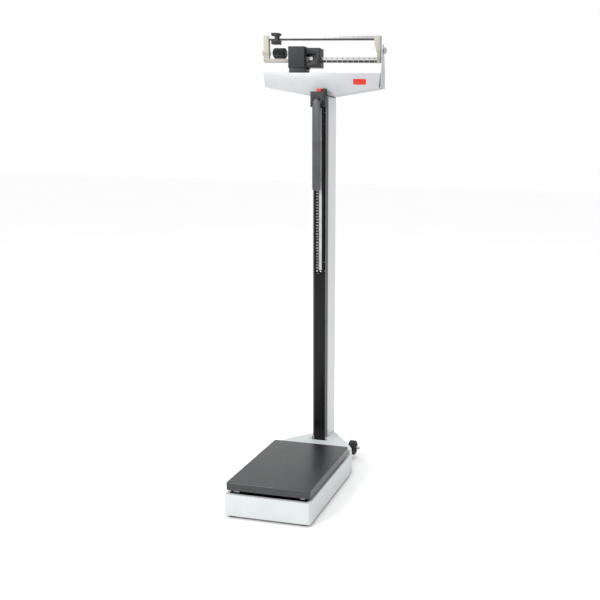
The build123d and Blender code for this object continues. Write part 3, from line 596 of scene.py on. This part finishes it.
def screw_recess_shade():
    """Thin dark crosses of painted shade where the recesses of the rear cover's screws are."""
    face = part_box("small_screws")[1].y
    corners = []
    reach, half, depth, proud = 2.4 * MM, 0.45 * MM, 1 * MM, 0.05 * MM
    outer_x, inner_x = 190 * MM, 60 * MM
    places = [(x, z) for x in (-outer_x, outer_x) for z in (1362 * MM, 1390 * MM)]
    places += [(x, 1338 * MM) for x in (-inner_x, inner_x)]
    for x, z in places:
        corners.append(((x - reach, face - depth, z - half), (x + reach, face + proud, z + half)))
        corners.append(((x - half, face - depth, z - reach), (x + half, face + proud, z + reach)))
    # Painted shade: black crosses where the screw recesses would be dark.
    boxes("screw_recess_shade", corners, black_ink_and_shade, "frame")


def front_screw(name, x, y, z, radius, material, body):
    """A small domed screw head that faces the front."""
    bm = bmesh.new()
    steps, levels = 24, 5
    rise = radius * 0.5
    rings = []
    for level in range(levels):
        angle = math.pi / 2 * level / levels
        reach = radius * math.cos(angle)
        ring = []
        for step in range(steps):
            turn = 2 * math.pi * step / steps
            ring.append(bm.verts.new((x + reach * math.cos(turn), y - rise * math.sin(angle),
                                      z + reach * math.sin(turn))))
        rings.append(ring)
    for here, there in zip(rings, rings[1:]):
        for step in range(steps):
            after = (step + 1) % steps
            bm.faces.new((here[step], here[after], there[after], there[step]))
    bm.faces.new(rings[0])
    bm.faces.new(rings[-1])
    mesh = mesh_of(name + "_mesh", bm)
    smooth_by_angle(mesh, 40)
    add_object(name, mesh, material, body)


def guide_end():
    """Stop screws near the lower end of the rod, and the one that closes the guide."""
    guide_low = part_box("rod_guide")[0]
    rod_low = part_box("height_rod")[0]
    for label, x, z in (("left", -6.2, 4.0), ("right", 7.0, 3.2)):
        front_screw("rod_stop_" + label, x * MM, rod_low.y, rod_low.z + z * MM, 2.4 * MM, scale_white,
                    "height_rod")
    front_screw("guide_stop", -2.0 * MM, guide_low.y, guide_low.z + 1.7 * MM, 1.6 * MM,
                finishes["zinc_steel"], "frame")


badge()
column_edges()
platform_tabs()
screw_recess_shade()
guide_end()


# ---------------------------------------------------------------- stage, light and camera

# Metres, watts, degrees and, for the lens and sensor, millimetres. The camera repeats the view of the
# photo, with its vertical shift kept small enough that the other views are not cropped.
FLOOR_HALF = 30
KEY_PLACE, KEY_POWER = (-2.0, -3.2, 3.0), 125
TOP_PLACE, TOP_POWER = (0.4, 0.6, 4.2), 20
LAMP_SIZE = 1.6
CAMERA_PLACE = (0.9140, -2.3467, 1.1178)
CAMERA_YAW, CAMERA_PITCH, CAMERA_ROLL = 10.773, 9.327, 1.603
CAMERA_LENS, SENSOR_WIDTH = 45.46, 36
SHIFT_X, SHIFT_Y = -0.2333, -0.025


def stage_floor():
    """Plain pale floor, wide enough to fill every view."""
    bm = bmesh.new()
    bmesh.ops.create_grid(bm, x_segments=1, y_segments=1, size=FLOOR_HALF)
    floor = bpy.data.objects.new("floor", mesh_of("floor_mesh", bm))
    bpy.context.scene.collection.objects.link(floor)
    dress(floor, finish_material("pale_floor", grey(0.97), grey(0.985), 0.6, grain=60, bump=0.02, blotch=1))


def area_light(name, place, target, power):
    """Round soft lamp that points at the target."""
    lamp = bpy.data.lights.new(name, "AREA")
    lamp.shape = "DISK"
    lamp.size = LAMP_SIZE
    lamp.energy = power
    obj = bpy.data.objects.new(name, lamp)
    bpy.context.scene.collection.objects.link(obj)
    obj.location = place
    obj.rotation_mode = "QUATERNION"
    obj.rotation_quaternion = (Vector(place) - Vector(target)).to_track_quat("Z", "Y")


def lights():
    """White surroundings, a soft key lamp from the front left and a weak lamp overhead."""
    bpy.context.scene.view_settings.view_transform = "Standard"
    low, high = cad_box
    middle = (Vector(low) + Vector(high)) / 2
    world = bpy.data.worlds.new("studio")
    bpy.context.scene.world = world
    world.use_nodes = True
    background = world.node_tree.nodes["Background"]
    background.inputs["Color"].default_value = (1, 1, 1, 1)
    background.inputs["Strength"].default_value = 1.0
    area_light("key", KEY_PLACE, middle, KEY_POWER)
    area_light("top", TOP_PLACE, middle, TOP_POWER)


def camera():
    """Viewpoint in front and to the right of the scale, about two thirds up its height."""
    yaw, pitch, roll = (math.radians(angle) for angle in (CAMERA_YAW, CAMERA_PITCH, CAMERA_ROLL))
    forward = Vector((-math.sin(yaw) * math.cos(pitch), math.cos(yaw) * math.cos(pitch), -math.sin(pitch)))
    right = Vector((math.cos(yaw), math.sin(yaw), 0))
    up = right.cross(forward)
    across = right * math.cos(roll) + up * math.sin(roll)
    upright = up * math.cos(roll) - right * math.sin(roll)
    data = bpy.data.cameras.new("camera")
    data.sensor_width = SENSOR_WIDTH
    data.lens = CAMERA_LENS
    data.shift_x = SHIFT_X
    data.shift_y = SHIFT_Y
    obj = bpy.data.objects.new("camera", data)
    bpy.context.scene.collection.objects.link(obj)
    turn = Matrix((across, upright, -forward)).transposed().to_4x4()
    obj.matrix_world = Matrix.Translation(CAMERA_PLACE) @ turn
    bpy.context.scene.camera = obj


stage_floor()
lights()
camera()
